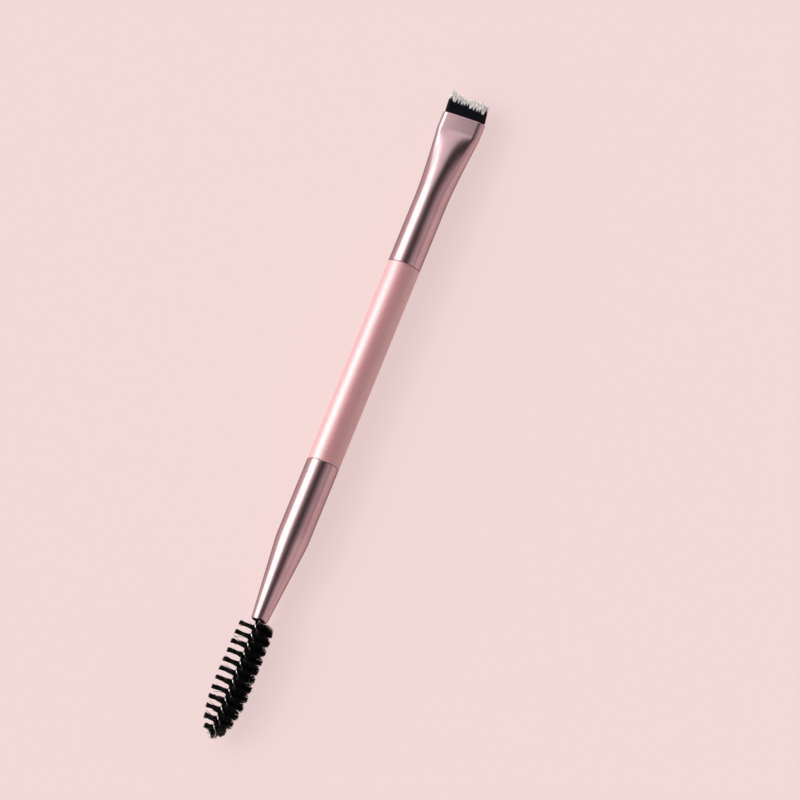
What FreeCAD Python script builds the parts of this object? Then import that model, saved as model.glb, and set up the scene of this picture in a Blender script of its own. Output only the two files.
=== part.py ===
import FreeCAD, Part
import math
import os

# Two-ended eyebrow brush, in millimetres. It lies along X with the spoolie at -X, the brow tuft
# at +X and the flat faces of the pressed ferrule up and down. The origin is on the surface that
# it lies on, under the middle of its length.

Vector = FreeCAD.Vector

# Driving dimensions: lengths along the axis, from the spoolie tip to the tuft
spoolie_length = 28.6
neck_gap = 0.5
cone_length = 39.1
handle_length = 49.8
flat_ferrule_length = 37.3
tuft_out_length = 4.2

# Driving dimensions: ferrules
ferrule_diameter = 7.65
ferrule_wall = 0.35
rim_edge = 0.1
cone_mouth_diameter = 3.8
cone_taper_length = 20.1
cone_shoulder_radius = 22.0
lip_depth = 0.5
lip_steps = 4
round_length = 18.0
pressed_length = 3.9
mouth_thickness = 3.0
end_strips = 16

# Driving dimensions: handle, whose body is flush with the ferrules
tenon_length = 9.0
tenon_clearance = 0.05
handle_edge = 0.15

# Driving dimensions: brow tuft and its resin
tuft_root_depth = 11.0
tuft_clearance = 0.04
tuft_tip_thickness = 1.7
tuft_tip_width = 9.3
tuft_bundle_width = 0.39
tuft_bundle_depth = 0.87
tuft_groove = 0.14
tuft_notch = 0.8
tuft_end_share = 0.92
glue_length = 4.0
glue_clearance = 0.02

# Driving dimensions: twisted wire
wire_diameter = 0.66
filament_gap = 0.14
twist_pitch = 4.55
twist_start_length = 1.0
stem_depth = 8.0
wire_sides = 6
wire_sections_per_turn = 9
bend_sections = 6

# Driving dimensions: bristles
bristle_radius = 4.3
bristle_end_radius = 4.0
bristle_taper_length = 12.9
bristle_tip_gap = 0.3
bundles_per_turn = 22
row_thickness = 0.86
core_thickness = 0.04
bundle_root_share = 0.58
short_bundle_share = 0.93
row_direction = math.radians(92.0)

# Driving dimensions: resin plug in the cone
plug_recess = 1.2
plug_cover = 1.0
plug_clearance = 0.02

# Stations along the axis, measured from the spoolie tip
cone_mouth_x = spoolie_length + neck_gap
handle_start_x = cone_mouth_x + cone_length
handle_end_x = handle_start_x + handle_length
flat_start_x = handle_end_x + round_length
mouth_x = handle_end_x + flat_ferrule_length
pressed_x = mouth_x - pressed_length
root_x = mouth_x - tuft_root_depth
tuft_tip_x = mouth_x + tuft_out_length
stem_end_x = cone_mouth_x + stem_depth

# Radii and places that follow from the driving dimensions
ferrule_radius = ferrule_diameter / 2
bore_radius = ferrule_radius - ferrule_wall
cone_mouth_radius = cone_mouth_diameter / 2
cone_slope = math.atan2(ferrule_radius - cone_mouth_radius, cone_taper_length)
wire_radius = wire_diameter / 2
strand_offset = wire_radius + filament_gap / 2
fold_x = strand_offset + wire_radius

# Pressing bends the tube's wall and doesn't stretch it, so the two flat sides of the mouth take
# the part of the round girth that its two half-round ends leave.
mouth_radius = mouth_thickness / 2
mouth_straight = math.pi * (ferrule_radius - mouth_radius)


def turned(points, arc_after=None, arc_middle=None):
    """Turn a closed profile of (x, radius) points about the axis. The edge that follows point
    number arc_after is an arc through arc_middle, and all others are straight."""
    edges = []
    for n, (x, r) in enumerate(points):
        next_x, next_r = points[(n + 1) % len(points)]
        a = Vector(x, 0, r)
        b = Vector(next_x, 0, next_r)
        if n == arc_after:
            edges.append(Part.Arc(a, Vector(arc_middle[0], 0, arc_middle[1]), b).toShape())
        else:
            edges.append(Part.LineSegment(a, b).toShape())
    face = Part.Face(Part.Wire(edges))
    return face.revolve(Vector(0, 0, 0), Vector(1, 0, 0), 360)


def outward(solid):
    if solid.Volume < 0:
        solid.reverse()
    return solid


def polyhedron(points, facets):
    """Closed solid from points and the triangles that share them."""
    surface = Part.Shape()
    surface.makeShapeFromMesh((points, facets), 0.0001)
    return outward(Part.Solid(Part.Shell(surface.Faces)))


def joined_rings(rings):
    """Triangles between each ring of point numbers and the next, all with as many points."""
    facets = []
    for a, b in zip(rings, rings[1:]):
        for n in range(len(a)):
            m = (n + 1) % len(a)
            facets.append((a[n], b[n], b[m]))
            facets.append((a[n], b[m], a[m]))
    return facets


def make_handle():
    """Rod with a tenon at each end, its body flush with the ferrules."""
    body = ferrule_radius
    tenon = bore_radius - tenon_clearance
    start = handle_start_x - tenon_length
    end = handle_end_x + tenon_length
    return turned([
        (start, 0),
        (start, tenon - handle_edge),
        (start + handle_edge, tenon),
        (handle_start_x, tenon),
        (handle_start_x, body - handle_edge),
        (handle_start_x + handle_edge, body),
        (handle_end_x - handle_edge, body),
        (handle_end_x, body - handle_edge),
        (handle_end_x, tenon),
        (end - handle_edge, tenon),
        (end, tenon - handle_edge),
        (end, 0),
    ])


def cone_radius(x, inset):
    """Radius of the taper at a station, inset square to the wall from its outside."""
    rise = (x - cone_mouth_x) * math.tan(cone_slope)
    return cone_mouth_radius + rise - inset / math.cos(cone_slope)


def make_cone_ferrule():
    """Drawn tube: straight over the handle's tenon, a soft shoulder, then a long taper to a
    small mouth, whose edge is rounded over in a few steps."""
    lip_x = cone_mouth_x + lip_depth
    lip_outside = cone_radius(lip_x, 0)
    lip_inside = cone_radius(lip_x, ferrule_wall)
    points = []
    for k in range(lip_steps, -1, -1):
        angle = math.pi * k / lip_steps
        x = lip_x - lip_depth * math.sin(angle)
        points.append((x, lip_outside + (lip_inside - lip_outside) * (1 - math.cos(angle)) / 2))
    shoulder_x = cone_mouth_x + cone_taper_length
    reach = cone_shoulder_radius * math.tan(cone_slope / 2)
    arc_start = shoulder_x - reach * math.cos(cone_slope)
    arc_end = shoulder_x + reach
    half_turn = cone_slope / 2
    arc_middle = (
        arc_end - cone_shoulder_radius * math.sin(half_turn),
        ferrule_radius - cone_shoulder_radius * (1 - math.cos(half_turn)),
    )
    points.append((arc_start, ferrule_radius - reach * math.sin(cone_slope)))
    arc_after = len(points) - 1
    points.append((arc_end, ferrule_radius))
    points.append((handle_start_x - rim_edge, ferrule_radius))
    points.append((handle_start_x, ferrule_radius - rim_edge))
    points.append((handle_start_x, bore_radius))
    wall_square = ferrule_wall / math.cos(cone_slope)
    corner_rise = bore_radius + wall_square - cone_mouth_radius
    points.append((cone_mouth_x + corner_rise / math.tan(cone_slope), bore_radius))
    return turned(points, arc_after, arc_middle)


def make_stem_plug():
    """Resin cast in the narrow end of the cone, round the wire stem and over its cut ends."""
    front = cone_mouth_x + plug_recess
    back = stem_end_x + plug_cover
    inset = ferrule_wall + plug_clearance
    bore = strand_offset + wire_radius + plug_clearance
    hole_end = stem_end_x + wire_radius
    return turned([
        (front, bore),
        (front, cone_radius(front, inset)),
        (back, cone_radius(back, inset)),
        (back, 0),
        (hole_end, 0),
        (hole_end, bore),
    ])


def tube_section(x, inset):
    """End radius and half straight side of the pressed tube's section at a station, inset from
    its outside. Between the round tube and the flat band each section is an oblong."""
    share = (x - flat_start_x) / (pressed_x - flat_start_x)
    share = min(1.0, max(0.0, share))
    radius = ferrule_radius + share * (mouth_radius - ferrule_radius) - inset
    return radius, share * mouth_straight / 2


def strip_arc(x, radius, side, way, strip):
    """Arc of one strip of a half-round end: way is 1 for the end at +Y and -1 for -Y."""
    def place(part):
        angle = math.pi * ((strip + part) / end_strips - 0.5)
        return Vector(x, way * (side + radius * math.cos(angle)), radius * math.sin(angle))

    return Part.Arc(place(0), place(0.5), place(1)).toShape()


def section_face(x, inset):
    radius, side = tube_section(x, inset)
    edges = []
    for way in (1, -1):
        edges += [strip_arc(x, radius, side, way, strip) for strip in range(end_strips)]
        if side > 0:
            across = Vector(x, side, way * radius)
            edges.append(Part.LineSegment(across, Vector(x, -side, way * radius)).toShape())
    return Part.Face(Part.Wire(Part.__sortEdges__(edges)))


def pressed_solid(start, end, inset, edge=0.0):
    """Form of the pressed tube between two stations, inset from its outside. Each half-round
    end narrows as part of a slanted cone, laid in strips, and each flat side is a plain face
    that comes to a point where the tube turns round. An edge cuts both rims back."""
    places = [(x, inset) for x in (flat_start_x, pressed_x) if start + edge < x < end - edge]
    places = [(start + edge, inset)] + places + [(end - edge, inset)]
    if edge > 0:
        places = [(start, inset + edge)] + places + [(end, inset + edge)]
    faces = [section_face(*places[0]), section_face(*places[-1])]
    for (a, inset_a), (b, inset_b) in zip(places, places[1:]):
        radius_a, side_a = tube_section(a, inset_a)
        radius_b, side_b = tube_section(b, inset_b)
        for way in (1, -1):
            for strip in range(end_strips):
                faces.append(Part.makeRuledSurface(
                    strip_arc(a, radius_a, side_a, way, strip),
                    strip_arc(b, radius_b, side_b, way, strip)))
            if side_b > 0:
                low = way * radius_a
                high = way * radius_b
                corners = [Vector(b, -side_b, high), Vector(b, side_b, high), Vector(a, side_a, low)]
                if side_a > 0:
                    corners.append(Vector(a, -side_a, low))
                faces.append(Part.Face(Part.makePolygon(corners + corners[:1])))
    shell = Part.Shell(faces)
    shell.sewShape()
    return outward(Part.Solid(shell))


def make_flat_ferrule():
    """Thin tube, round over the handle's tenon and pressed flat towards its mouth."""
    outside = pressed_solid(handle_end_x, mouth_x, 0, rim_edge)
    inside = pressed_solid(handle_end_x - ferrule_wall, mouth_x + ferrule_wall, ferrule_wall)
    return outside.cut(inside)


def make_tuft_glue():
    """Resin set in the ferrule behind the roots of the tuft."""
    return pressed_solid(root_x - glue_length, root_x, ferrule_wall + glue_clearance)


def tuft_section(x):
    """End radius and half straight side of the tuft: it fills the tube, and outside the mouth
    it thins evenly towards its cut end."""
    radius, side = tube_section(min(x, mouth_x), ferrule_wall + tuft_clearance)
    if x > mouth_x:
        share = (x - mouth_x) / tuft_out_length
        tip_radius = tuft_tip_thickness / 2
        tip_side = tuft_tip_width / 2 - tip_radius
        radius += share * (tip_radius - radius)
        side += share * (tip_side - side)
    return radius, side


def make_brow_tuft():
    """Flat bundle of filaments. A grid of columns and rows spans each section, and every other
    grid point is a groove: they run down the sides and part the cut end into points."""
    mouth_end_radius, mouth_side = tuft_section(mouth_x)
    columns = 2 * round(2 * (mouth_side + mouth_end_radius) / tuft_bundle_width)
    rows = 2 * round(2 * mouth_end_radius / tuft_bundle_depth)

    def grid_point(x, i, j):
        radius, side = tuft_section(x)
        groove = tuft_groove * ((i + j) % 2)
        if i in (0, columns):
            radius -= groove
        y = (2 * i / columns - 1) * (side + tuft_end_share * radius)
        beyond = max(0.0, abs(y) - side)
        half = math.sqrt(radius * radius - beyond * beyond)
        if j in (0, rows):
            half -= groove
        return Vector(x, y, (2 * j / rows - 1) * half)

    ring = [(i, rows) for i in range(columns)]
    ring += [(columns, j) for j in range(rows, 0, -1)]
    ring += [(i, 0) for i in range(columns, 0, -1)]
    ring += [(0, j) for j in range(rows)]
    notch_x = tuft_tip_x - tuft_notch
    middle_x = (mouth_x + notch_x) / 2
    points = []
    rings = []
    for x in (root_x, pressed_x, mouth_x, middle_x):
        rings.append(range(len(points), len(points) + len(ring)))
        points += [grid_point(x, i, j) for i, j in ring]
    end = {}
    for i in range(columns + 1):
        for j in range(rows + 1):
            end[i, j] = len(points)
            points.append(grid_point(notch_x if (i + j) % 2 else tuft_tip_x, i, j))
    rings.append([end[place] for place in ring])
    facets = joined_rings(rings)
    for i in range(columns):
        for j in range(rows):
            cell = [end[i, j], end[i, j + 1], end[i + 1, j + 1], end[i + 1, j]]
            turn = (i + j) % 2
            cell = cell[turn:] + cell[:turn]
            facets.append((cell[0], cell[1], cell[2]))
            facets.append((cell[0], cell[2], cell[3]))
    hub = len(points)
    points.append(Vector(root_x, 0, 0))
    for n in range(len(ring)):
        facets.append((hub, rings[0][n], rings[0][(n + 1) % len(ring)]))
    return polyhedron(points, facets)


def twist_angle(x):
    """Direction of the filaments at a station. It turns left-handed, once in each pitch, and
    gathers speed over a short length where the wire leaves its fold."""
    run = x - fold_x
    if run < twist_start_length:
        turning = run * run / (2 * twist_start_length)
    else:
        turning = run - twist_start_length / 2
    full = spoolie_length - fold_x - twist_start_length / 2
    return row_direction + 2 * math.pi * (full - turning) / twist_pitch


def twist_rate(x):
    """Turn of the filaments per unit of length at a station."""
    return -2 * math.pi / twist_pitch * min(1.0, (x - fold_x) / twist_start_length)


def around(x, distance, angle):
    return Vector(x, distance * math.cos(angle), distance * math.sin(angle))


def make_spoolie_wire():
    """One wire, folded at the tip, whose two halves are twisted round each other. Its sections
    follow one half to the fold, go round it, and follow the other half back."""
    steps = math.ceil((stem_end_x - fold_x) / twist_pitch * wire_sections_per_turn)
    stations = [fold_x + (stem_end_x - fold_x) * k / steps for k in range(steps + 1)]
    axis = Vector(1, 0, 0)
    points = []
    rings = []

    def add_section(centre, out, across):
        rings.append(range(len(points), len(points) + wire_sides))
        for n in range(wire_sides):
            angle = 2 * math.pi * (n + 0.5) / wire_sides
            points.append(centre + out * (wire_radius * math.cos(angle))
                          + across * (wire_radius * math.sin(angle)))

    def add_strand(x, way):
        out = around(0, way, twist_angle(x) + math.pi / 2)
        ahead = axis + axis.cross(out) * (twist_rate(x) * strand_offset)
        ahead.normalize()
        add_section(Vector(x, 0, 0) + out * strand_offset, out, ahead.cross(out) * way)

    for x in reversed(stations):
        add_strand(x, 1)
    side = around(0, 1, twist_angle(fold_x) + math.pi / 2)
    for k in range(1, bend_sections):
        angle = math.pi * k / bend_sections
        out = side * math.cos(angle) - axis * math.sin(angle)
        add_section(Vector(fold_x, 0, 0) + out * strand_offset, out, axis.cross(side))
    for x in stations:
        add_strand(x, -1)
    facets = joined_rings(rings)
    for ring, way in ((rings[0], 1), (rings[-1], -1)):
        for n in range(1, wire_sides - 1):
            facets.append((ring[0], ring[n], ring[n + 1])[::way])
    return polyhedron(points, facets)


def bristle_reach(x):
    """Radius that the bristles reach at a station: an oval nose, then a slow fall to the end."""
    share = 1 - x / bristle_taper_length
    if share > 0:
        return bristle_radius * math.sqrt(1 - share * share)
    share = (x - bristle_taper_length) / (spoolie_length - bristle_taper_length)
    return bristle_radius - (bristle_radius - bristle_end_radius) * share * share


def make_spoolie_bristles():
    """Two-start spiral of bristle bundles: a thin sheet that passes between the two strands,
    turns with them, thickens outwards and parts into a comb of points on both sides. Every
    other bundle leans forward, and those between are shorter and lean back."""
    start_x = fold_x + bristle_tip_gap
    end_x = spoolie_length - row_thickness / 2
    count = round((end_x - start_x) * bundles_per_turn / twist_pitch)
    step = (end_x - start_x) / count
    lean = row_thickness / 4
    points = []
    facets = []

    def add(x, distance, thickness, shift=0.0):
        """Two points a thickness apart, on the two faces of the sheet, at a signed distance
        from the axis along the filament."""
        angle = twist_angle(x)
        normal = Vector(twist_rate(x) * distance, math.sin(angle), -math.cos(angle))
        normal.normalize()
        middle = around(x + shift, distance, angle)
        points.extend((middle + normal * (thickness / 2), middle - normal * (thickness / 2)))
        return len(points) - 2, len(points) - 1

    def quad(a, b, c, d):
        facets.append((a, b, c))
        facets.append((a, c, d))

    stations = []
    for k in range(count + 1):
        x = start_x + k * step
        root = bundle_root_share * bristle_reach(x)
        thickness = bundle_root_share * row_thickness
        stations.append((
            add(x, -root, thickness),
            add(x, 0, core_thickness),
            add(x, root, thickness),
        ))
    for k, (a, b) in enumerate(zip(stations, stations[1:])):
        for m in (0, 1):
            quad(a[m][0], b[m][0], b[m + 1][0], a[m + 1][0])
            quad(a[m + 1][1], b[m + 1][1], b[m][1], a[m][1])
        x = start_x + (k + 0.5) * step
        reach = bristle_reach(x) * (short_bundle_share if k % 2 else 1)
        for way, first, second in ((1, a[2], b[2]), (-1, b[0], a[0])):
            tip = add(x, way * reach, row_thickness / 2, -lean if k % 2 else lean)
            facets.append((first[0], second[0], tip[0]))
            facets.append((second[1], first[1], tip[1]))
            quad(second[0], second[1], tip[1], tip[0])
            quad(first[1], first[0], tip[0], tip[1])
    for ends, way in ((stations[0], 1), (stations[-1], -1)):
        for m in (0, 1):
            quad(*(ends[m][0], ends[m + 1][0], ends[m + 1][1], ends[m][1])[::way])
    return polyhedron(points, facets)


pieces = {
    "handle": make_handle(),
    "cone_ferrule": make_cone_ferrule(),
    "stem_plug": make_stem_plug(),
    "flat_ferrule": make_flat_ferrule(),
    "tuft_glue": make_tuft_glue(),
    "brow_tuft": make_brow_tuft(),
    "spoolie_wire": make_spoolie_wire(),
    "spoolie_bristles": make_spoolie_bristles(),
}

# The brush rests on its lowest bristles, and the origin is there, under the middle of its length.
first_x = pieces["spoolie_wire"].BoundBox.XMin
last_x = pieces["brow_tuft"].BoundBox.XMax
lowest = pieces["spoolie_bristles"].BoundBox.ZMin
to_origin = Vector(-(first_x + last_x) / 2, 0, -lowest)
os.makedirs("parts", exist_ok=True)
for name, shape in pieces.items():
    shape.translate(to_origin)
    shape.exportStep("parts/" + name + ".step")
    print(name, "valid", shape.isValid(), "solids", len(shape.Solids), "volume", shape.Volume)
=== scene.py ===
import math
import bpy
import numpy as np
from mathutils import Matrix, Vector


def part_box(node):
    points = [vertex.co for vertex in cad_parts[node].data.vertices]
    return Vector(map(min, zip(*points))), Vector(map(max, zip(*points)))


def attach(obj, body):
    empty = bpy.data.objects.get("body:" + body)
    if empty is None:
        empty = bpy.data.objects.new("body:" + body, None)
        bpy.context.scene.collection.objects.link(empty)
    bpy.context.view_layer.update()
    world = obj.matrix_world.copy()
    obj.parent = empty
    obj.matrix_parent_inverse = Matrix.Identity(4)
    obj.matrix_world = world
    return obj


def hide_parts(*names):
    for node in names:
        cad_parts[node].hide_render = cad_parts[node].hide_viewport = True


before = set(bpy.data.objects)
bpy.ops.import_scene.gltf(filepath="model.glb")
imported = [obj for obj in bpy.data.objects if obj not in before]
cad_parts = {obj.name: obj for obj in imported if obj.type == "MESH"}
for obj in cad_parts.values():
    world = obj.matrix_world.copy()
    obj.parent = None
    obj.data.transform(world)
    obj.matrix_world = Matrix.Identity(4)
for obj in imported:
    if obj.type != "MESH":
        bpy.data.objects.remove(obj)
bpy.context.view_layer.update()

# Handle. One rod, turned with a thinner tenon at each end and lacquered a pearly pale pink. The
# tenons are glued into the two ferrules, so that only the middle shows, flush with both.
mm = 0.001
handle_low, handle_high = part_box("handle")
handle_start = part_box("cone_ferrule")[1].x
handle_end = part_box("flat_ferrule")[0].x
axis_z = (handle_low.z + handle_high.z) / 2
body_radius = (handle_high.z - handle_low.z) / 2
ferrule_wall = 0.35 * mm
tenon_clearance = 0.05 * mm
tenon_radius = body_radius - ferrule_wall - tenon_clearance
joint_gap = 0.09 * mm
handle_edge = 0.16 * mm
shoulder_edge = 0.03 * mm
tenon_edge = 0.15 * mm
end_ring_radius = 0.2 * mm
end_ring_edge = 0.05 * mm
turned_sides = 160
sharp_edge = math.radians(50)
pearl_cloud_size = 3.5 * mm
mica_size = 0.16 * mm
lacquer_depth = 0.012 * mm
handle_pink = (0.70, 0.26, 0.272, 1)
handle_rose = (0.66, 0.235, 0.248, 1)
mica_white = (0.95, 0.72, 0.72, 1)


def rounded(corners, steps):
    """Closed outline through corners of (place, place, rounding radius), each rounded by an arc
    of its own radius. The arc touches both sides of its corner, its centre lies on the line that
    halves the corner, and its points are even turns of the first touching point towards the last
    about that centre."""
    corners, radii = np.hsplit(np.array(corners, float), [2])
    back = np.roll(corners, 1, axis=0) - corners
    ahead = np.roll(corners, -1, axis=0) - corners
    back /= np.linalg.norm(back, axis=1, keepdims=True)
    ahead /= np.linalg.norm(ahead, axis=1, keepdims=True)
    half = np.arccos(np.sum(back * ahead, axis=1, keepdims=True)) / 2
    middle = (back + ahead) / np.linalg.norm(back + ahead, axis=1, keepdims=True)
    centre = corners + middle * radii / np.sin(half)
    first = corners + back * radii / np.tan(half) - centre
    last = corners + ahead * radii / np.tan(half) - centre
    turn = math.pi - 2 * half
    share = np.linspace(0, 1, steps + 1)
    first_part = (np.sin((1 - share) * turn) / np.sin(turn))[..., None]
    last_part = (np.sin(share * turn) / np.sin(turn))[..., None]
    points = centre[:, None] + first_part * first[:, None] + last_part * last[:, None]
    return points.reshape(-1, 2)


def turned(outline, sides):
    """Rings of an outline of (x, radius) turned about the brush's axis. At each even angle a
    the point is (x, radius times cos a, axis height plus radius times sin a)."""
    angle = np.arange(sides) * 2 * math.pi / sides
    x = outline[:, :1]
    radius = outline[:, 1:]
    y = radius * np.cos(angle)
    z = axis_z + radius * np.sin(angle)
    return np.stack(np.broadcast_arrays(x, y, z), axis=-1)


def add_piece(name, points, faces):
    """Mesh object at the origin, smooth but for its sharp edges."""
    mesh = bpy.data.meshes.new(name)
    mesh.from_pydata(points, [], faces)
    mesh.shade_smooth()
    mesh.set_sharp_from_angle(angle=sharp_edge)
    piece = bpy.data.objects.new(name, mesh)
    bpy.context.scene.collection.objects.link(piece)
    return piece


def add_surface(name, rings, poles=None):
    """Piece whose faces join each ring of points to the next. Without poles the last ring joins
    the first, as in the wall of a tube, and two poles close the ends with fans of triangles."""
    points = rings.reshape(-1, 3)
    number = np.arange(len(points)).reshape(rings.shape[:2])
    if poles is None:
        number = np.vstack((number, number[:1]))
    beside = np.roll(number, -1, axis=1)
    quads = np.stack((number[:-1], beside[:-1], beside[1:], number[1:]), axis=-1)
    faces = quads.reshape(-1, 4).tolist()
    if poles is not None:
        pole = np.full_like(number[0], len(points))
        faces += np.stack((pole, beside[0], number[0]), axis=-1).tolist()
        faces += np.stack((pole + 1, number[-1], beside[-1]), axis=-1).tolist()
        points = np.vstack((points, poles))
    return add_piece(name, points, faces)


class Socket:
    """One output of a node in a shader. Arithmetic on sockets adds Math nodes to that shader, and
    add() makes any other node."""

    def __init__(self, tree, output=None):
        self.tree = tree
        self.output = output

    def add(self, kind, settings=None, inputs=None, output=0):
        """New node of a kind. Its settings come first, a ramp's stops among them, and then its
        inputs by name or number, each a value or the socket that it is linked to."""
        node = self.tree.nodes.new("ShaderNode" + kind)
        settings = dict(settings or {})
        stops = settings.pop("stops", ())
        for name, value in settings.items():
            setattr(node, name, value)
        for n, (place, colour) in enumerate(stops):
            elements = node.color_ramp.elements
            stop = elements[n] if n < 2 else elements.new(place)
            stop.position = place
            stop.color = colour
        for name, value in (inputs or {}).items():
            if isinstance(value, Socket):
                self.tree.links.new(value.output, node.inputs[name])
            else:
                node.inputs[name].default_value = value
        return Socket(self.tree, node.outputs[output] if node.outputs else None)

    def other(self, name):
        """Another output of the same node."""
        return Socket(self.tree, self.output.node.outputs[name])

    def math(self, operation, *values, clamp=False):
        """Math node of an operation on these values."""
        settings = {"operation": operation, "use_clamp": clamp}
        return self.add("Math", settings, dict(enumerate(values)))

    def mix(self, colour, other):
        """Colour that goes from one to another as this socket goes from 0 to 1."""
        return self.add("Mix", {"data_type": "RGBA"}, {0: self, 6: colour, 7: other}, output=2)

    def step(self, low, high):
        """0 below low, 1 above high, and a smooth rise between them."""
        settings = {"interpolation_type": "SMOOTHSTEP", "clamp": True}
        return self.add("MapRange", settings, {0: self, 1: low, 2: high})

    def noise(self, size, detail=2.0, stretch=(1, 1, 1)):
        """Noise whose grains are about as wide as size, stretched by its factor along each axis."""
        scale = [1 / size / factor for factor in stretch]
        place = self.add("VectorMath", {"operation": "MULTIPLY"}, {0: self, 1: scale})
        return self.add("TexNoise", inputs={"Vector": place, "Scale": 1.0, "Detail": detail})

    def bump(self, depth):
        """Normal of a surface that this socket, from 0 to 1, raises by up to a depth."""
        return self.add("Bump", inputs={"Strength": 1.0, "Distance": depth, "Height": self})

    def __add__(self, other):
        return self.math("ADD", self, other)

    def __radd__(self, other):
        return self.math("ADD", other, self)

    def __sub__(self, other):
        return self.math("SUBTRACT", self, other)

    def __rsub__(self, other):
        return self.math("SUBTRACT", other, self)

    def __mul__(self, other):
        return self.math("MULTIPLY", self, other)

    def __rmul__(self, other):
        return self.math("MULTIPLY", other, self)

    def __truediv__(self, other):
        return self.math("DIVIDE", self, other)


def new_finish(name):
    """Empty material, and the socket of its Object coordinates."""
    material = bpy.data.materials.new(name)
    material.use_nodes = True
    material.node_tree.nodes.clear()
    place = Socket(material.node_tree).add("TexCoord", output="Object")
    return material, place


def set_surface(place, **inputs):
    """Principled shader with these inputs, their names with _ for a space, as the surface."""
    named = {name.replace("_", " "): value for name, value in inputs.items()}
    shader = place.add("BsdfPrincipled", inputs=named)
    place.add("OutputMaterial", inputs={0: shader})


handle_outline = rounded(
    [
        (handle_low.x, end_ring_radius, end_ring_edge),
        (handle_low.x, tenon_radius, tenon_edge),
        (handle_start + joint_gap, tenon_radius, shoulder_edge),
        (handle_start + joint_gap, body_radius, handle_edge),
        (handle_end - joint_gap, body_radius, handle_edge),
        (handle_end - joint_gap, tenon_radius, shoulder_edge),
        (handle_high.x, tenon_radius, tenon_edge),
        (handle_high.x, end_ring_radius, end_ring_edge),
    ],
    steps=8,
)
handle_poles = [(handle_low.x, 0, axis_z), (handle_high.x, 0, axis_z)]
handle = add_surface("lacquered_handle", turned(handle_outline, turned_sides), handle_poles)

pearl, place = new_finish("pearl_lacquer")
cloud = place.noise(pearl_cloud_size, 3.0, stretch=(3, 1, 1))
flake = place.add("TexVoronoi", inputs={"Vector": place, "Scale": 1 / mica_size}, output="Color")
spark = flake.add("SeparateColor", inputs={0: flake}).step(0.80, 1.0)
tint = cloud.step(0.3, 0.7).mix(handle_pink, handle_rose)
set_surface(
    place,
    Base_Color=(spark * 0.3).mix(tint, mica_white),
    IOR=1.65,
    Specular_IOR_Level=1.0,
    Roughness=0.54 + 0.08 * cloud - 0.10 * spark,
    Coat_Weight=1.0,
    Coat_Roughness=0.42,
    Coat_IOR=2.6,
    Normal=(0.6 * cloud + 0.4 * spark).bump(lacquer_depth),
)
handle.data.materials.append(pearl)
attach(handle, "root")
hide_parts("handle")

# Tapered ferrule. A thin tube of aluminium, spun down to a small mouth whose edge is rolled in,
# then satin blasted and anodised a rose colour. It is glued on the handle's tenon.
cone_low, cone_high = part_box("cone_ferrule")
cone_mouth_radius = 1.9 * mm
taper_length = 20.1 * mm
taper_shoulder = 22 * mm
bore_radius = body_radius - ferrule_wall
bore_turn = 0.5 * mm
rim_edge = 0.1 * mm
bore_edge = 0.05 * mm
lip_length = 0.36 * mm
lip_width = 0.56 * mm
lip_roll = 0.45 * mm
lip_root = 0.1 * mm
lip_edge = 0.09 * mm
grain_size = 0.22 * mm
grain_depth = 0.004 * mm
line_width = 0.35 * mm
line_stretch = 40
tone_size = 6 * mm
band_blend = 0.3 * mm
rose_metal = (0.545, 0.370, 0.388, 1)
pale_metal = (0.585, 0.410, 0.428, 1)
rose_rim = (0.44, 0.40, 0.42, 1)


def satin_metal(name, band_start=None):
    """Rose anodised metal: a fine blasted grain, faint lines drawn along the tube, and slow
    clouds of a paler tone. Past band_start, where the press has struck it flat, it is a little
    rougher and its grain is shallower."""
    material, place = new_finish(name)
    grain = place.noise(grain_size, 4.0)
    drawn = place.noise(line_width, 2.0, stretch=(line_stretch, 1, 1))
    cloud = place.noise(tone_size, 2.0)
    band = 0.0
    if band_start is not None:
        along = place.add("SeparateXYZ", inputs={0: place}, output="X")
        band = along.step(band_start - band_blend, band_start + band_blend)
    set_surface(
        place,
        Base_Color=cloud.step(0.3, 0.7).mix(rose_metal, pale_metal),
        Metallic=1.0,
        Roughness=0.17 + 0.06 * grain + 0.05 * drawn + 0.05 * band,
        Specular_Tint=rose_rim,
        Normal=((0.7 - 0.35 * band) * grain + 0.3 * drawn).bump(grain_depth),
    )
    return material


cone_slope = (body_radius - cone_mouth_radius) / taper_length
taper_end = cone_low.x + taper_length
lip_x = cone_low.x + lip_length
lip_outer_radius = cone_mouth_radius - ferrule_wall + lip_length * cone_slope
lip_inner_radius = cone_mouth_radius - lip_width
cone_outline = rounded(
    [
        (cone_low.x, cone_mouth_radius, lip_roll),
        (taper_end, body_radius, taper_shoulder),
        (cone_high.x, body_radius, rim_edge),
        (cone_high.x, bore_radius, bore_edge),
        (taper_end, bore_radius, bore_turn),
        (lip_x, lip_outer_radius, lip_root),
        (lip_x, lip_inner_radius, lip_edge),
        (cone_low.x, lip_inner_radius, lip_edge),
    ],
    steps=12,
)
cone_ferrule = add_surface("tapered_ferrule", turned(cone_outline, turned_sides))
cone_ferrule.data.materials.append(satin_metal("rose_satin_cone"))
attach(cone_ferrule, "root")
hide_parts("cone_ferrule")

# Flat ferrule. The same tube, left round over the handle's tenon and pressed flat towards its
# mouth, with a last band of even thickness. The press leaves its two faces crowned before it.
flat_low, flat_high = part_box("flat_ferrule")
round_length = 18 * mm
band_length = 3.9 * mm
flat_start = flat_low.x + round_length
band_start = flat_high.x - band_length
mouth_radius = (math.pi * body_radius / 2 - flat_high.y) / (math.pi / 2 - 1)
face_lean = math.radians(2.2)
crown_lean = math.radians(50)
lean_fall = 0.4
lean_foot = 0.08
soft_start = 2.2 * mm
mouth_roll = 0.26 * mm
mouth_edge = 0.06 * mm
first_station = flat_low.x + 1 * mm
last_station = flat_high.x - 0.3 * mm
round_stations = 6
press_stations = 60
band_stations = 12
girth_steps = 240


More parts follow.
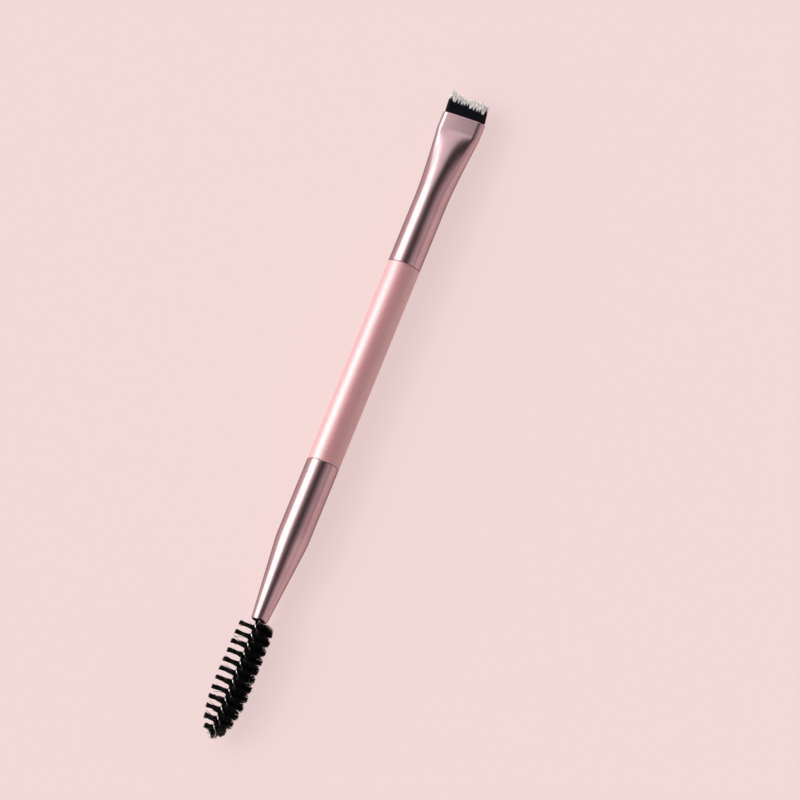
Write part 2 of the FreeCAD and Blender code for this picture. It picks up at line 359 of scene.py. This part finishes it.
def pressed_arcs(x):
    """Shape of the tube's section at a station. How far it is pressed rises evenly from the
    round part, where it starts as a parabola over soft_start to each side of its foot, to the
    last band. The radius of the two end arcs falls with it. The faces between them are arcs as
    well, and lean is their slope where they meet the ends. It falls slowly at first, as the
    share still to be pressed to the power 1 less lean_fall, and fast before the band. Half the
    distance between the ends' centres is what the same girth leaves: a quarter of a turn times
    the fall of the radius, times sin lean over lean."""
    run = x - flat_start
    length = band_start - flat_start
    foot = (np.clip(run, -soft_start, soft_start) + soft_start) ** 2 / (4 * soft_start)
    still = 1 - np.clip(np.where(run < soft_start, foot, run) / length, 0, 1)
    radius = mouth_radius + still * (body_radius - mouth_radius)
    lean = face_lean + crown_lean * still / (still + lean_foot) ** lean_fall
    side = math.pi / 2 * (body_radius - radius) * np.sin(lean) / lean
    return radius, side, lean


def oblong(radius, side, lean, share, inset):
    """Y and height above the axis of the pressed tube's section. Its two ends are arcs of a
    radius about points at plus and minus side. Its faces are arcs of a larger radius, which
    meet the ends without a corner because their centres lie on one line with them. share runs
    round the girth from the end at +Y over the top, and inset moves a point in, square to the
    wall."""
    crown_radius = radius + side / np.sin(lean)
    depth = side / np.tan(lean)
    end = radius * (math.pi / 2 - lean)
    face = 2 * crown_radius * lean
    run = (1 - np.abs(2 * share - 1)) * (2 * end + face)
    upper = np.sign(1 - 2 * share)
    first = run < end
    last = run > end + face
    crown_angle = math.pi / 2 - lean + (run - end) / crown_radius
    last_angle = math.pi / 2 + lean + (run - end - face) / radius
    angle = np.where(first, run / radius, np.where(last, last_angle, crown_angle))
    centre_y = np.where(first, side, np.where(last, -side, 0.0))
    centre_z = np.where(first | last, 0.0, -depth)
    reach = np.where(first | last, radius, crown_radius) - inset
    return centre_y + reach * np.cos(angle), upper * (centre_z + reach * np.sin(angle))


rim = rounded(
    [
        (flat_low.x, 0, rim_edge),
        (flat_high.x, 0, mouth_roll),
        (flat_high.x, ferrule_wall, mouth_edge),
        (flat_low.x, ferrule_wall, bore_edge),
    ],
    steps=8,
)
rim_outer, mouth_outer, mouth_inner, rim_inner = np.split(rim, 4)
stations = np.concatenate((
    np.linspace(first_station, flat_start - soft_start, round_stations),
    np.linspace(flat_start - soft_start, band_start, press_stations)[1:],
    np.linspace(band_start, last_station, band_stations)[1:],
))
outside = np.stack((stations, np.zeros_like(stations)), axis=-1)
inside = np.stack((stations[::-1], np.full_like(stations, ferrule_wall)), axis=-1)
flat_profile = np.concatenate((rim_outer, outside, mouth_outer, mouth_inner, inside, rim_inner))
profile_x, profile_inset = np.hsplit(flat_profile, 2)
girth_share = np.arange(girth_steps)[None] / girth_steps
section_y, section_z = oblong(*pressed_arcs(profile_x), girth_share, profile_inset)
flat_rings = np.stack(np.broadcast_arrays(profile_x, section_y, axis_z + section_z), axis=-1)
flat_ferrule = add_surface("pressed_ferrule", flat_rings)
flat_ferrule.data.materials.append(satin_metal("rose_satin_flat", band_start))
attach(flat_ferrule, "root")
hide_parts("flat_ferrule")

# Brow tuft. Over two thousand tapered synthetic filaments, dyed black with their tips left white.
# Their roots are glued into the pressed tube, and their tips gather into small points.
tuft_low, tuft_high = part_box("brow_tuft")
tuft_clearance = 0.04 * mm
filament_radius = 0.052 * mm
filament_spacing = 0.098 * mm
filament_scatter = 0.1 * filament_spacing
swell = 0.26 * mm
swell_height = 0.45 * mm
tip_side = 3.75 * mm
tip_radius = 0.95 * mm
tip_shift = 0.30 * mm
tip_rise = 0.25 * mm
tip_scatter = 0.26 * mm
corner_rise = 0.95 * mm
corner_spread = 0.40 * mm
corner_drop = 0.35 * mm
tuft_bundle_width = 0.80 * mm
tuft_bundle_rows = 3
row_weight = 1.3
bundle_scatter_y = 0.12 * mm
bundle_scatter_z = 0.05 * mm
bundle_rise = 0.10 * mm
bundle_dome = 0.12 * mm
gather_range = (0.15, 0.40)
black_length = 2.45 * mm
black_lean = 0.35 * mm
finger_length = 1.25 * mm
finger_range = (0.6, 1.2)
finger_power = 1.2
dye_scatter = 0.08 * mm
dye_blend = 0.22 * mm
free_places = (0.35, 0.7, 1.0)
filament_taper = (1, 1, 1, 1, 0.95, 0.72, 0.20)
filament_sides = 4
streak_size = 0.12 * mm
tuft_black = (0.003, 0.003, 0.008, 1)
tuft_white = (0.97, 0.95, 0.93, 1)
tuft_shade = (0.80, 0.75, 0.73, 1)
tuft_random = np.random.default_rng(11)


def add_filaments(name, centres, radii, first, second):
    """Piece of four-sided filaments. centres holds the points of each from end to end, and radii
    its thickness at each. A corner is its centre plus radius times (cos a first + sin a second)
    at a quarter turn a each, where first and second are square to the filament, and one face
    closes each end."""
    angle = (np.arange(filament_sides) * 2 * math.pi / filament_sides)[:, None]
    out = np.cos(angle) * first[:, None, None] + np.sin(angle) * second[:, None, None]
    points = centres[:, :, None] + radii[:, :, None, None] * out
    number = np.arange(points[..., 0].size).reshape(points.shape[:3])
    beside = np.roll(number, -1, axis=2)
    walls = np.stack((number[:, :-1], beside[:, :-1], beside[:, 1:], number[:, 1:]), axis=-1)
    faces = np.concatenate((walls.reshape(-1, 4), number[:, 0, ::-1], number[:, -1]))
    return add_piece(name, points.reshape(-1, 3), faces)


# Filaments stand in rows, every other one shifted by half a spacing, and those that fit in the
# mouth are kept.
tuft_fit = ferrule_wall + tuft_clearance
fit_radius = mouth_radius - tuft_fit
mouth_side = float(pressed_arcs(np.array(flat_high.x))[1])
across = np.arange(-mouth_side - fit_radius, mouth_side + fit_radius, filament_spacing)
through = np.arange(-fit_radius, fit_radius, filament_spacing * math.sin(math.pi / 3))
grid_y, grid_z = np.meshgrid(across, through)
grid_y[1::2] += filament_spacing / 2
grid_y += tuft_random.normal(0, filament_scatter, grid_y.shape)
grid_z += tuft_random.normal(0, filament_scatter, grid_z.shape)
core_y = np.clip(grid_y, -mouth_side, mouth_side)
held = np.hypot(grid_y - core_y, grid_z) < fit_radius - filament_radius
core_share = core_y[held] / mouth_side
out_y = (grid_y - core_y)[held] / fit_radius
out_z = grid_z[held] / fit_radius
filament_count = len(core_share)


def fitted(x):
    """Places of all the filaments in the tube's section at a station. Each keeps its share of
    the straight side and of the round end."""
    radius, side, _ = pressed_arcs(np.array(x))
    fit = radius - tuft_fit - filament_radius
    y = core_share * side + out_y * fit
    return np.stack((np.full(filament_count, x), y, axis_z + out_z * fit), axis=-1)


# The tips fan out, lean towards the nearest of a few rows of small points, and rise towards the
# corner at +Y. The black runs furthest up in the middle of each point, like a finger.
end_y = core_share * tip_side + out_y * tip_radius
end_z = out_z * tip_radius
tip_reach = tip_side + tip_radius
seed_count = (round(2 * tip_reach / tuft_bundle_width), tuft_bundle_rows)
seed_y, seed_z = np.meshgrid(*(np.linspace(-1, 1, n) * (1 - 1 / n) for n in seed_count))
seed_y = seed_y.ravel() * tip_reach + tuft_random.normal(0, bundle_scatter_y, seed_y.size)
seed_z = seed_z.ravel() * tip_radius + tuft_random.normal(0, bundle_scatter_z, seed_z.size)
distance = np.hypot(end_y[:, None] - seed_y, row_weight * (end_z[:, None] - seed_z))
bundle = distance.argmin(axis=1)
off = np.abs(end_y - seed_y[bundle]) / (tuft_bundle_width / 2)
gather = tuft_random.uniform(*gather_range, seed_y.size)[bundle]
near_corner = np.clip(core_share, 0, 1)
far_corner = np.clip(-core_share, 0, 1)
end_y += gather * (seed_y[bundle] - end_y) + tip_shift + corner_spread * near_corner ** 2
end_z += gather * (seed_z[bundle] - end_z)
corner = near_corner ** 3 * tuft_random.random(filament_count)
rise = tuft_random.normal(0, bundle_rise, seed_y.size)[bundle]
end_x = tuft_high.x + tip_rise + corner_rise * corner + rise - bundle_dome * off ** 2
end_x += tuft_random.normal(0, tip_scatter, filament_count) - corner_drop * far_corner
finger = finger_length * tuft_random.uniform(*finger_range, seed_y.size)[bundle]
finger *= np.clip(1 - off, 0, 1) ** finger_power
dye_x = flat_high.x + black_length + finger + black_lean * core_share
dye_x += tuft_random.normal(0, dye_scatter, filament_count)

# Each filament runs from its root through the band to the mouth, swells out there, and goes on
# straight to its tip.
mouth_points = fitted(flat_high.x)
swelling = (np.full(filament_count, swell_height), swell * out_y, swell * out_z)
swollen = mouth_points + np.stack(swelling, axis=-1)
tips = np.stack((end_x, end_y, axis_z + end_z), axis=-1)
free_points = swollen + np.array(free_places)[:, None, None] * (tips - swollen)
held_points = (fitted(tuft_low.x), fitted(band_start), mouth_points)
tuft_centres = np.stack((*held_points, swollen, *free_points), axis=1)
tuft_radii = np.broadcast_to(np.array(filament_taper) * filament_radius, tuft_centres.shape[:2])
to_side = np.broadcast_to([0.0, 1.0, 0.0], (filament_count, 3))
to_top = np.broadcast_to([0.0, 0.0, 1.0], (filament_count, 3))
brow_tuft = add_filaments("brow_filaments", tuft_centres, tuft_radii, to_side, to_top)
past_dye = tuft_centres[..., 0] - dye_x[:, None]
dye_mark = brow_tuft.data.attributes.new("past_dye", "FLOAT", "POINT")
dye_mark.data.foreach_set("value", np.repeat(past_dye.ravel() / dye_blend, filament_sides))

tuft_finish, place = new_finish("dyed_filaments")
past = place.add("Attribute", {"attribute_name": "past_dye"}, output="Fac")
streak = place.noise(streak_size, 2.0, stretch=(12, 1, 1))
bleached = past.step(-1.0, 1.0)
white = (0.3 * streak.step(0.4, 0.8)).mix(tuft_white, tuft_shade)
set_surface(
    place,
    Base_Color=bleached.mix(tuft_black, white),
    Roughness=0.36 + 0.2 * bleached + 0.1 * streak,
    Specular_IOR_Level=0.25,
)
brow_tuft.data.materials.append(tuft_finish)
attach(brow_tuft, "root")
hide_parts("brow_tuft")

# Twisted wire. One length of bright steel wire, folded at the tip of the spoolie over the row of
# filaments and twisted left-handed. Its two cut ends are held in the resin inside the cone.
wire_low, wire_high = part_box("spoolie_wire")
wire_radius = 0.33 * mm
strand_offset = 0.40 * mm
twist_pitch = 4.55 * mm
twist_start = 1.0 * mm
row_direction = math.radians(92)
spoolie_end = wire_low.x + 28.6 * mm
fold_x = wire_low.x + strand_offset + wire_radius
wire_sides = 14
wire_steps = 190
bend_steps = 12
scratch_size = 0.09 * mm
scratch_depth = 0.004 * mm
wire_steel = (0.42, 0.41, 0.40, 1)
wire_painted_shade = (0.26, 0.25, 0.25, 1)


def twist_angle(x):
    """Angle of the filaments about the axis at a station, from +Y towards the top. It falls by
    one turn in each pitch, and its speed grows evenly from nothing over a short start."""
    run = x - fold_x
    turning = np.where(run < twist_start, run ** 2 / (2 * twist_start), run - twist_start / 2)
    full = spoolie_end - fold_x - twist_start / 2
    return row_direction + 2 * math.pi * (full - turning) / twist_pitch


def twist_rate(x):
    """Change of that angle per length."""
    return -2 * math.pi / twist_pitch * np.minimum(1, (x - fold_x) / twist_start)


def around(angle):
    """Unit vectors square to the axis at these angles."""
    return np.stack((np.zeros_like(angle), np.cos(angle), np.sin(angle)), axis=-1)


def strand(x, way):
    """Centres, outward and forward directions of one of the two strands at these stations. The
    strand circles the axis a quarter turn from the filaments, and goes towards way."""
    out = around(twist_angle(x) + way * math.pi / 2)
    swing = np.cross([1.0, 0, 0], out) * (twist_rate(x) * strand_offset)[:, None]
    forward = np.array([1.0, 0, 0]) + swing
    forward *= -way / np.linalg.norm(forward, axis=1, keepdims=True)
    centre = strand_offset * out
    centre[:, 0] = x
    return centre, out, forward


wire_x = np.linspace(wire_high.x, fold_x, wire_steps)
centre_down, out_down, forward_down = strand(wire_x, 1)
centre_up, out_up, forward_up = strand(wire_x[::-1], -1)
bend = (math.pi * np.arange(1, bend_steps) / bend_steps)[:, None]
fold_side = around(twist_angle(np.array([fold_x])) + math.pi / 2)
to_tip = np.array([[-1.0, 0, 0]])
out_bend = np.cos(bend) * fold_side + np.sin(bend) * to_tip
forward_bend = np.cos(bend) * to_tip - np.sin(bend) * fold_side
centre_bend = strand_offset * out_bend + [fold_x, 0, 0]
wire_centre = np.concatenate((centre_down, centre_bend, centre_up))
wire_out = np.concatenate((out_down, out_bend, out_up))
wire_across = np.cross(np.concatenate((forward_down, forward_bend, forward_up)), wire_out)
ring = (np.arange(wire_sides) * 2 * math.pi / wire_sides)[None, :, None]
ring_out = np.cos(ring) * wire_out[:, None] + np.sin(ring) * wire_across[:, None]
wire_rings = wire_centre[:, None] + wire_radius * ring_out
wire_rings[..., 2] += axis_z
wire_poles = wire_centre[[0, -1]] + [0, 0, axis_z]
wire = add_surface("twisted_wire", wire_rings, wire_poles)

# Steel finish. The drawn scratches vary its roughness and bumps, and the patches of darker grey
# they lay in its colour are painted shade on the wire.
steel, place = new_finish("bright_wire")
drawn = place.noise(scratch_size, 3.0, stretch=(6, 1, 1))
set_surface(
    place,
    Base_Color=drawn.step(0.3, 0.8).mix(wire_steel, wire_painted_shade),
    Metallic=1.0,
    Roughness=0.11 + 0.12 * drawn,
    Normal=drawn.bump(scratch_depth),
)
wire.data.materials.append(steel)
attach(wire, "root")
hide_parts("spoolie_wire")

# Bristles. Straight black nylon filaments, trapped at their middle between the two strands. The
# twist fans them into a two-start spiral of rows, trimmed to an oval nose, with a few strays.
bristle_count = 3200
clump_size = 15
bristle_thickness = 0.055 * mm
bristle_taper = (0.75, 1, 1, 1, 1, 0.75)
bristle_places = (-1, -0.55, -0.1, 0.1, 0.55, 1)
bristle_reach_radius = 4.42 * mm
bristle_end_radius = 4.1 * mm
nose_length = 12.9 * mm
nose_power = 2.3
row_thickness = 1.22 * mm
lean_share = 0.40
clump_lean_share = 0.16
lean_power = 1.4
neck_reach = 0.15 * mm
fold_gap = 0.1 * mm
station_scatter = 0.03 * mm
angle_scatter = 0.05
clump_angle_scatter = 0.03
splay_angle = 0.7
splay_length = 0.35 * mm
longest_share = 1.01
trim_scatter = 0.03
stray_share = 0.012
stray_lean = 2.4
nylon_sheen_size = 0.4 * mm
nylon_black = (0.002, 0.002, 0.002, 1)
nylon_grey = (0.006, 0.006, 0.006, 1)
bristle_random = np.random.default_rng(5)


def bristle_reach(x):
    """Radius of the trimmed spoolie at a station. Over the nose it is the full radius times the
    root of 1 less the share of the nose still ahead to nose_power, nearly a quarter of an oval.
    Behind it comes a fall that grows as the square of the distance."""
    nose = np.clip(1 - (x - wire_low.x) / nose_length, 0, 1)
    tail = np.clip((x - wire_low.x - nose_length) / (spoolie_end - wire_low.x - nose_length), 0, 1)
    fall = (bristle_reach_radius - bristle_end_radius) * tail ** 2
    return bristle_reach_radius * np.sqrt(1 - nose ** nose_power) - fall


# The bristles of a clump share some of their angle, lean and trim, and each adds its own. Those at
# the very tip splay, because nothing beyond them holds their row.
clump = np.arange(bristle_count) // clump_size
clump_count = clump.max() + 1
stray = bristle_random.random(bristle_count) < stray_share
bristle_x = np.linspace(fold_x + fold_gap, spoolie_end, bristle_count)
bristle_x += np.abs(bristle_random.normal(0, station_scatter, bristle_count))
tip_splay = splay_angle * np.exp((fold_x - bristle_x) / splay_length)
bristle_angle = twist_angle(bristle_x) + bristle_random.normal(0, angle_scatter, bristle_count)
bristle_angle += bristle_random.normal(0, clump_angle_scatter, clump_count)[clump]
bristle_angle += bristle_random.normal(0, tip_splay)
tip_shares = longest_share - trim_scatter * bristle_random.random((bristle_count, 2))
tip_shares -= trim_scatter * bristle_random.random((clump_count, 2))[clump]
leans = bristle_random.uniform(-lean_share, lean_share, (bristle_count, 2))
leans += bristle_random.uniform(-clump_lean_share, clump_lean_share, (clump_count, 2))[clump]
leans *= row_thickness * np.where(stray, stray_lean, 1.0)[:, None]
leans = np.minimum(leans, spoolie_end + neck_reach - bristle_x[:, None])
places = np.array(bristle_places)
end_number = (places > 0).astype(int)
along_share = places * np.where(np.abs(places) < 1, 1, tip_shares[:, end_number])
reach = bristle_reach(bristle_x)[:, None]
filament_way = around(bristle_angle)
bristle_centres = filament_way[:, None] * (along_share * reach)[..., None]
bend_along = leans[:, end_number] * np.abs(along_share) ** lean_power
bristle_centres[..., 0] = bristle_x[:, None] + bend_along
bristle_centres[..., 2] = np.maximum(bristle_centres[..., 2] + axis_z, bristle_thickness)
bristle_radii = np.array(bristle_taper) * bristle_thickness
bristle_radii = np.broadcast_to(bristle_radii, bristle_centres.shape[:2])
to_tuft = np.broadcast_to([1.0, 0.0, 0.0], (bristle_count, 3))
across_way = np.cross(filament_way, to_tuft)
bristles = add_filaments("nylon_bristles", bristle_centres, bristle_radii, to_tuft, across_way)

nylon, place = new_finish("black_nylon")
sheen = place.noise(nylon_sheen_size, 3.0)
set_surface(
    place,
    Base_Color=sheen.step(0.35, 0.75).mix(nylon_black, nylon_grey),
    Roughness=0.30 + 0.16 * sheen,
    Specular_IOR_Level=0.28,
)
bristles.data.materials.append(nylon)
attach(bristles, "root")
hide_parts("spoolie_bristles")

# Resin. Set dark and glossy behind the roots of the tuft, and round the wire inside the cone,
# where only its face shows at the bottom of the mouth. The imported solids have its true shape.
resin_cloud_size = 0.9 * mm
resin_depth = 0.02 * mm
resin_dark = (0.030, 0.022, 0.020, 1)
resin_brown = (0.060, 0.045, 0.040, 1)
resin, place = new_finish("set_resin")
cloud = place.noise(resin_cloud_size, 3.0)
set_surface(
    place,
    Base_Color=cloud.step(0.3, 0.7).mix(resin_dark, resin_brown),
    Roughness=0.18 + 0.2 * cloud,
    Normal=cloud.bump(resin_depth),
)
for node in ("stem_plug", "tuft_glue"):
    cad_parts[node].material_slots[0].material = resin

# Floor. A plain pale pink table for the brush to lie on, which isn't part of it. To the camera it
# glows a little by itself, so that the brush's shadow on it stays faint.
floor_reach = 15.0
floor_pink = (0.890, 0.695, 0.680, 1)
floor_glow = 0.8
paper_grain_size = 2 * mm
paper_grain_depth = 0.01 * mm
floor_corners = [(-1, -1, 0), (1, -1, 0), (1, 1, 0), (-1, 1, 0)]
floor = add_piece("floor", np.array(floor_corners) * floor_reach, [(0, 1, 2, 3)])
floor_paint, place = new_finish("floor_paint")
paper = place.noise(paper_grain_size, 3.0).bump(paper_grain_depth)
plain = {"Base Color": floor_pink, "Roughness": 0.9, "Specular IOR Level": 0.2, "Normal": paper}
paint = place.add("BsdfPrincipled", inputs=plain)
glow = place.add("Emission", inputs={"Color": floor_pink, "Strength": 1.0})
ray = place.add("LightPath", output="Is Camera Ray")
seen = ray + ray.other("Is Glossy Ray") + ray.other("Is Transmission Ray")
share = seen.math("MULTIPLY", seen, floor_glow, clamp=True)
surface = place.add("MixShader", inputs={0: share, 1: paint, 2: glow})
place.add("OutputMaterial", inputs={0: surface})
floor.data.materials.append(floor_paint)

# Light. A studio room in the world: a long softbox with a bright core above the brush's +Y side, a
# dim ceiling over it, a pink wall on the other side, and a pale wall at each end. The softbox and
# the pink wall both fade towards the tuft.
world = bpy.data.worlds.new("studio")
world.use_nodes = True
world.node_tree.nodes.clear()
bpy.context.scene.world = world
brightest = 8.5
softbox_dimming = 0.58
haze_share = 0.75
pink_side_end_dimming = 0.7
wall_shade = (0.02, 0.015, 0.015)
haze_white = (1.10, 1.02, 1.02)
end_wall = (1.15, 1.12, 1.11)

# Angles about the brush, in degrees from straight up towards +Y, and the room's colour at each.
room = [
    (-90, (0.78, 0.60, 0.61)),
    (-75, (0.78, 0.62, 0.64)),
    (-60, (0.96, 0.84, 0.85)),
    (-50, (0.74, 0.63, 0.65)),
    (-42, (0.56, 0.47, 0.48)),
    (-28, (0.24, 0.19, 0.19)),
    (-20, (0.10, 0.08, 0.08)),
    (-2, (0.09, 0.08, 0.08)),
    (8, (0.24, 0.23, 0.23)),
    (13, (0.34, 0.31, 0.31)),
    (18, (0.50, 0.46, 0.46)),
    (23, (1.35, 1.30, 1.29)),
    (28, (2.30, 2.27, 2.25)),
    (34, (2.80, 2.77, 2.75)),
    (42, (3.00, 2.97, 2.95)),
    (47, (8.50, 8.44, 8.38)),
    (53, (8.50, 8.44, 8.38)),
    (58, (3.00, 2.97, 2.95)),
    (66, (2.80, 2.77, 2.75)),
    (72, (2.30, 2.27, 2.25)),
    (78, (1.10, 1.06, 1.04)),
    (84, (0.50, 0.45, 0.44)),
    (90, (0.40, 0.34, 0.33)),
]


def shown(colour):
    """Colour as a share of the brightest light, with full alpha."""
    return tuple(c / brightest for c in colour[:3]) + (1,)


stops = [(0.5 + degrees / 360, shown(colour)) for degrees, colour in room]

# parts is a direction's share along each axis: its X is -1 past the spoolie and 1 past the tuft.
direction = Socket(world.node_tree).add("TexCoord", output="Generated")
parts = direction.add("SeparateXYZ", inputs={0: direction})
turn = parts.math("ARCTAN2", parts.other("Y"), parts.other("Z"))
walls = turn.add("ValToRGB", {"stops": stops}, {0: turn / (2 * math.pi) + 0.5})
pink_side = (0.0 - turn).step(0.0, 0.25)
wall_fade = 1.0 - parts.step(-0.30, -0.05) * (1.0 - 0.75 * parts.step(-0.10, 0.65))
on_softbox = turn.step(math.radians(18), math.radians(28))
softbox_fade = softbox_dimming * parts.step(0.26, 0.42) * on_softbox
faded = (pink_side * wall_fade + softbox_fade).mix(walls, shown(wall_shade))
above_dark = turn.step(math.radians(2), math.radians(9))
haze = haze_share * parts.step(0.24, 0.44) * above_dark
hazy = haze.mix(faded, shown(haze_white))
past_ends = parts.math("ABSOLUTE", parts - 0.15).step(0.6, 0.8)
end_share = (1.0 - pink_side_end_dimming * pink_side) * past_ends
above_floor = parts.other("Z").step(0.03, 0.10)
colour = above_floor.mix(shown(floor_pink), end_share.mix(hazy, shown(end_wall)))
light = colour.add("Background", inputs={"Color": colour, "Strength": brightest})
light.add("OutputWorld", inputs={0: light})

# Camera. It looks down on the brush as the photograph does, turned towards its -Y side, with the
# tuft leaning away from it and the spoolie at the lower left.
view_lean = math.radians(12.5)
view_turn = math.radians(15)
picture_roll = math.radians(22.2)
camera_distance = 3.0
view_width = 0.18140
aim = Vector((0.00912, -0.01022, 0.00139))
back = Vector((
    -math.sin(view_lean),
    -math.cos(view_lean) * math.sin(view_turn),
    math.cos(view_lean) * math.cos(view_turn),
))
brush_up = (Vector((1, 0, 0)) - back * back.x).normalized()
brush_right = brush_up.cross(back)
up = math.cos(picture_roll) * brush_up - math.sin(picture_roll) * brush_right
right = up.cross(back)
camera_data = bpy.data.cameras.new("camera")
camera_data.sensor_width = 36
camera_data.lens = camera_data.sensor_width * camera_distance / view_width
camera_data.clip_end = 100
camera = bpy.data.objects.new("camera", camera_data)
bpy.context.scene.collection.objects.link(camera)
facing = Matrix((right, up, back)).transposed().to_4x4()
camera.matrix_world = Matrix.Translation(aim + back * camera_distance) @ facing
bpy.context.scene.camera = camera
bpy.context.scene.view_settings.view_transform = "Standard"
